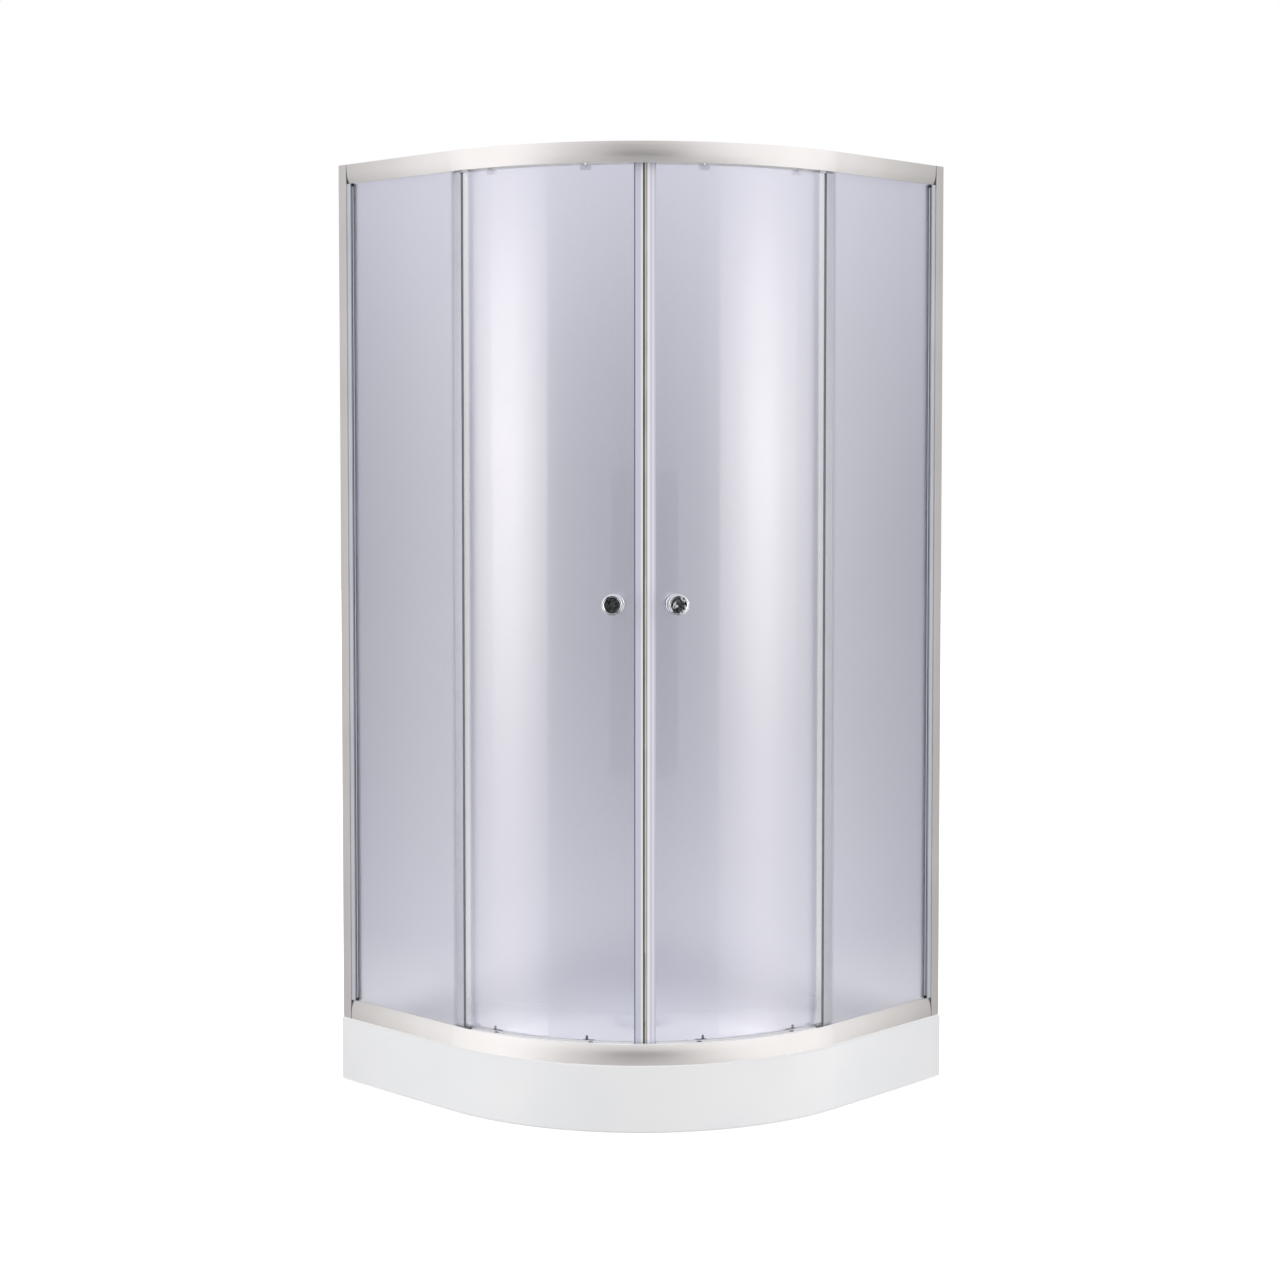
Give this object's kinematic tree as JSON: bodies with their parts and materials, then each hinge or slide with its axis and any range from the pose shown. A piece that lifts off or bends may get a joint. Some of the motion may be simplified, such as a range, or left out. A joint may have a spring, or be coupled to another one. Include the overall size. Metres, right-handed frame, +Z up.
{
  "type": "shower cabin",
  "caption": "Quadrant corner shower cabin: low white tray, satin metal frame, obscured glass, and curved sliding doors on rollers that meet at a magnetic seam.",
  "frame": {"origin": "middle of the square footprint, on the floor under the tray's feet", "axes": "+Z up, the room's walls at -X and +Y, the curved front towards +X and -Y"},
  "size_m": [0.9, 0.9, 1.93],
  "materials": {
    "white_acrylic": "gloss white acrylic",
    "white_plastic": "moulded white plastic",
    "satin_aluminium": "satin anodised, warm tint",
    "bright_aluminium": "bright anodised",
    "zinc_steel": "zinc plated",
    "steel": "stainless",
    "tinted_glass": "grey tinted, obscured",
    "white_seal": "soft white vinyl",
    "dark_magnet": "dark magnetic strip",
    "grey_magnet": "beige-grey magnetic strip",
    "black_rubber": "matte",
    "grey_plastic": "mid grey moulding",
    "chrome": "polished",
    "nylon": "nylon"
  },
  "bodies": {
    "enclosure": {"bottom_rail": "satin_aluminium", "door_stops": "black_rubber", "fixed_edge_seal_left": "white_seal", "fixed_edge_seal_right": "white_seal", "fixed_glass_left": "tinted_glass", "fixed_glass_right": "tinted_glass", "frame_screws": "steel", "glass_clips": "grey_plastic", "glazing_gasket_left": "black_rubber", "glazing_gasket_right": "black_rubber", "rail_end_caps": "grey_plastic", "shower_tray": "white_acrylic", "side_post_left": "bright_aluminium", "side_post_right": "bright_aluminium", "slot_covers": "white_seal", "top_rail": "satin_aluminium", "tray_feet": "zinc_steel", "tray_support_frame": "zinc_steel", "wall_profile_left": "satin_aluminium", "wall_profile_right": "satin_aluminium", "waste_cover": "chrome", "waste_flange": "chrome", "waste_seal": "black_rubber", "waste_trap": "white_plastic"},
    "door_left": {"bottom_roller_housings_left": "grey_plastic", "door_glass_left": "tinted_glass", "door_rear_seal_left": "white_seal", "knob_inner_left": "chrome", "knob_outer_left": "chrome", "knob_stud_left": "chrome", "magnet_seal_left": "white_seal", "magnet_strip_left": "dark_magnet", "release_spring_front_left": "steel", "release_spring_rear_left": "steel", "roller_screws_left": "steel", "top_roller_brackets_left": "steel"},
    "door_right": {"bottom_roller_housings_right": "grey_plastic", "door_glass_right": "tinted_glass", "door_rear_seal_right": "white_seal", "knob_inner_right": "chrome", "knob_outer_right": "chrome", "knob_stud_right": "chrome", "magnet_seal_right": "white_seal", "magnet_strip_right": "grey_magnet", "release_spring_front_right": "steel", "release_spring_rear_right": "steel", "roller_screws_right": "steel", "top_roller_brackets_right": "steel"},
    "release_plunger_front_left": {"release_plunger_front_left": "grey_plastic"},
    "release_plunger_front_right": {"release_plunger_front_right": "grey_plastic"},
    "release_plunger_rear_left": {"release_plunger_rear_left": "grey_plastic"},
    "release_plunger_rear_right": {"release_plunger_rear_right": "grey_plastic"},
    "wheel_bottom_front_left": {"wheel_bottom_front_left": "nylon"},
    "wheel_bottom_front_right": {"wheel_bottom_front_right": "nylon"},
    "wheel_bottom_rear_left": {"wheel_bottom_rear_left": "nylon"},
    "wheel_bottom_rear_right": {"wheel_bottom_rear_right": "nylon"},
    "wheel_top_front_left": {"wheel_top_front_left": "nylon"},
    "wheel_top_front_right": {"wheel_top_front_right": "nylon"},
    "wheel_top_rear_left": {"wheel_top_rear_left": "nylon"},
    "wheel_top_rear_right": {"wheel_top_rear_right": "nylon"}
  },
  "joints": [
    {"name": "door_slide_right", "type": "hinge", "parent": "enclosure", "child": "door_right", "pos_m": [-0.2025, 0.1292, 1.03], "axis": [0, 0, 1], "range_deg": [0, 19.25]},
    {"name": "release_front_right", "type": "slide", "parent": "door_right", "child": "release_plunger_front_right", "axis": [0, 0, -1], "range_m": [0, 0.0032], "stiffness_N_per_m": 900, "springref_m": -0.0015, "deforming": ["release_spring_front_right"]},
    {"name": "spin_top_front_right", "type": "hinge", "parent": "door_right", "child": "wheel_top_front_right", "pos_m": [0.32441, -0.16623, 1.9164], "axis": [0.8471, -0.5314, 0], "range_deg": [-1380, 0]},
    {"name": "spin_bottom_front_right", "type": "hinge", "parent": "release_plunger_front_right", "child": "wheel_bottom_front_right", "pos_m": [0.32441, -0.16623, 0.1466], "axis": [0.8471, -0.5314, 0], "range_deg": [0, 1380]},
    {"name": "release_rear_right", "type": "slide", "parent": "door_right", "child": "release_plunger_rear_right", "axis": [0, 0, -1], "range_m": [0, 0.0032], "stiffness_N_per_m": 900, "springref_m": -0.0015, "deforming": ["release_spring_rear_right"]},
    {"name": "spin_top_rear_right", "type": "hinge", "parent": "door_right", "child": "wheel_top_rear_right", "pos_m": [0.39427, 0.01817, 1.9164], "axis": [0.9866, -0.1633, 0], "range_deg": [-1390, 0]},
    {"name": "spin_bottom_rear_right", "type": "hinge", "parent": "release_plunger_rear_right", "child": "wheel_bottom_rear_right", "pos_m": [0.39427, 0.01817, 0.1466], "axis": [0.9866, -0.1633, 0], "range_deg": [0, 1390]},
    {"name": "door_slide_left", "type": "hinge", "parent": "enclosure", "child": "door_left", "pos_m": [-0.1292, 0.2025, 1.03], "axis": [0, 0, -1], "range_deg": [0, 19.25]},
    {"name": "release_front_left", "type": "slide", "parent": "door_left", "child": "release_plunger_front_left", "axis": [0, 0, -1], "range_m": [0, 0.0032], "stiffness_N_per_m": 900, "springref_m": -0.0015, "deforming": ["release_spring_front_left"]},
    {"name": "spin_top_front_left", "type": "hinge", "parent": "door_left", "child": "wheel_top_front_left", "pos_m": [0.16623, -0.32441, 1.9164], "axis": [0.5314, -0.8471, 0], "range_deg": [0, 1380]},
    {"name": "spin_bottom_front_left", "type": "hinge", "parent": "release_plunger_front_left", "child": "wheel_bottom_front_left", "pos_m": [0.16623, -0.32441, 0.1466], "axis": [0.5314, -0.8471, 0], "range_deg": [-1380, 0]},
    {"name": "release_rear_left", "type": "slide", "parent": "door_left", "child": "release_plunger_rear_left", "axis": [0, 0, -1], "range_m": [0, 0.0032], "stiffness_N_per_m": 900, "springref_m": -0.0015, "deforming": ["release_spring_rear_left"]},
    {"name": "spin_top_rear_left", "type": "hinge", "parent": "door_left", "child": "wheel_top_rear_left", "pos_m": [-0.01817, -0.39427, 1.9164], "axis": [0.1633, -0.9866, 0], "range_deg": [0, 1390]},
    {"name": "spin_bottom_rear_left", "type": "hinge", "parent": "release_plunger_rear_left", "child": "wheel_bottom_rear_left", "pos_m": [-0.01817, -0.39427, 0.1466], "axis": [0.1633, -0.9866, 0], "range_deg": [-1390, 0]}
  ],
  "couplings": [
    {"joint": "spin_top_front_right", "follows": "door_slide_right", "ratio": -71.068},
    {"joint": "spin_bottom_front_right", "follows": "door_slide_right", "ratio": 71.068},
    {"joint": "spin_top_rear_right", "follows": "door_slide_right", "ratio": -71.413},
    {"joint": "spin_bottom_rear_right", "follows": "door_slide_right", "ratio": 71.413},
    {"joint": "spin_top_front_left", "follows": "door_slide_left", "ratio": 71.068},
    {"joint": "spin_bottom_front_left", "follows": "door_slide_left", "ratio": -71.068},
    {"joint": "spin_top_rear_left", "follows": "door_slide_left", "ratio": 71.413},
    {"joint": "spin_bottom_rear_left", "follows": "door_slide_left", "ratio": -71.413}
  ]
}
